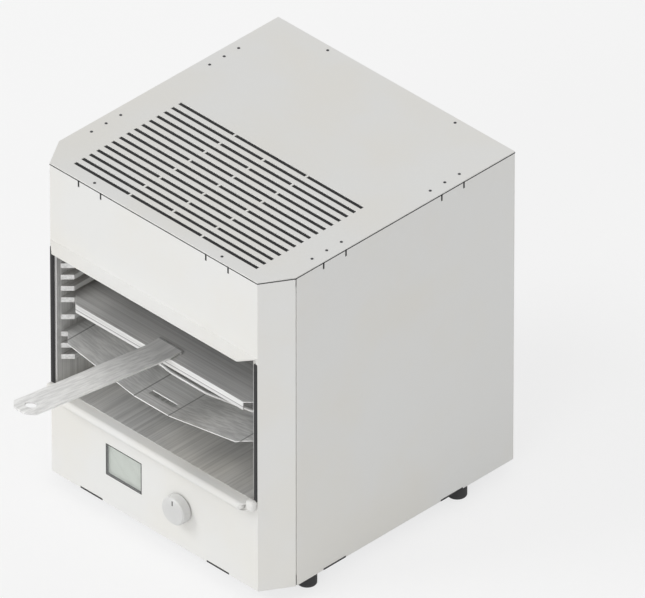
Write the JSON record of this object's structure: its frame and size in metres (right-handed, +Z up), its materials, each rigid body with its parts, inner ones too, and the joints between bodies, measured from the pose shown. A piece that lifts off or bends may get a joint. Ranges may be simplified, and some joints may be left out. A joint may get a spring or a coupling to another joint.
{
  "type": "open-front top-heat oven",
  "caption": "Open-front sheet-metal oven with top vents, trays on side rails under an overhead element, a hooked tray lifter, a display window and a push-and-turn knob.",
  "frame": {"origin": "middle of the cabinet's footprint, on the surface that its feet stand on", "axes": "+X to the right as seen from the front, +Y from the front to the back, +Z up"},
  "size_m": [0.342, 0.5454, 0.4018],
  "materials": {
    "cabinet_paint": "fine-textured powder coat",
    "liner_steel": "brushed stainless",
    "zinc_steel": "zinc-plated sheet",
    "tray_steel": "brushed stainless",
    "bright_fastener": "bright plated",
    "dark_rivet": "blackened",
    "black_rubber": "matte",
    "wool_board": "fibrous board",
    "element_sheath": "oxidised sheath",
    "reflector_sheet": "bright rolled",
    "window_clear": "smoked clear",
    "display_glass": "gloss",
    "board_green": "solder mask",
    "brass_post": "turned",
    "black_plastic": "moulded",
    "knob_plastic": "satin moulded",
    "relay_plastic": "moulded",
    "sink_aluminium": "anodised",
    "terminal_plastic": "moulded"
  },
  "bodies": {
    "cabinet": {"front_frame": "cabinet_paint", "left_side_panel": "cabinet_paint", "right_side_panel": "cabinet_paint", "back_panel": "cabinet_paint", "top_panel": "cabinet_paint", "panel_rivets": "dark_rivet", "base_plate": "zinc_steel", "foot_screws": "bright_fastener", "cavity_left_wall": "liner_steel", "cavity_right_wall": "liner_steel", "cavity_back_wall": "liner_steel", "cavity_floor": "liner_steel", "cavity_ceiling": "liner_steel", "left_tray_rails": "liner_steel", "right_tray_rails": "liner_steel", "left_cavity_stand": "zinc_steel", "right_cavity_stand": "zinc_steel", "wool_left": "wool_board", "wool_right": "wool_board", "wool_top": "wool_board", "wool_back": "wool_board", "heating_element": "element_sheath", "heater_hangers": "zinc_steel", "heat_reflector": "reflector_sheet", "temperature_probe": "bright_fastener", "display_window": "window_clear", "display_module": "display_glass", "control_board": "board_green", "control_standoffs": "brass_post", "encoder": "zinc_steel", "encoder_nut": "bright_fastener", "power_board": "board_green", "power_standoffs": "brass_post", "relay": "relay_plastic", "heat_sink": "sink_aluminium", "terminal_block": "terminal_plastic", "fan_frame": "black_plastic", "mains_inlet": "black_plastic", "inlet_pins": "bright_fastener", "foot_front_left": "black_rubber", "foot_front_right": "black_rubber", "foot_rear_left": "black_rubber", "foot_rear_right": "black_rubber"},
    "upper_tray": {"upper_tray": "tray_steel"},
    "lower_tray": {"lower_tray": "tray_steel"},
    "tray_lifter": {"tray_lifter": "tray_steel"},
    "encoder_plunger": {"encoder_plunger": "black_plastic"},
    "knob": {"knob": "knob_plastic", "encoder_shaft": "bright_fastener"},
    "fan_rotor": {"fan_rotor": "black_plastic"}
  },
  "joints": [
    {"name": "upper_tray_slide", "type": "slide", "parent": "cabinet", "child": "upper_tray", "axis": [0, -1, 0], "range_m": [0, 0.2]},
    {"name": "lower_tray_slide", "type": "slide", "parent": "cabinet", "child": "lower_tray", "axis": [0, -1, 0], "range_m": [0, 0.2]},
    {"name": "lifter_tilt", "type": "hinge", "parent": "upper_tray", "child": "tray_lifter", "pos_m": [0, -0.1505, 0.235], "axis": [-1, 0, 0], "range_deg": [0, 20]},
    {"name": "knob_press", "type": "slide", "parent": "cabinet", "child": "encoder_plunger", "axis": [0, 1, 0], "range_m": [0, 0.0008], "stiffness_N_per_m": 600},
    {"name": "knob_turn", "type": "hinge", "parent": "encoder_plunger", "child": "knob", "pos_m": [0.0385, -0.175, 0.065], "axis": [0, 1, 0], "continuous": true},
    {"name": "fan_spin", "type": "hinge", "parent": "cabinet", "child": "fan_rotor", "pos_m": [0.07, 0.16, 0.07], "axis": [0, 1, 0], "continuous": true}
  ]
}
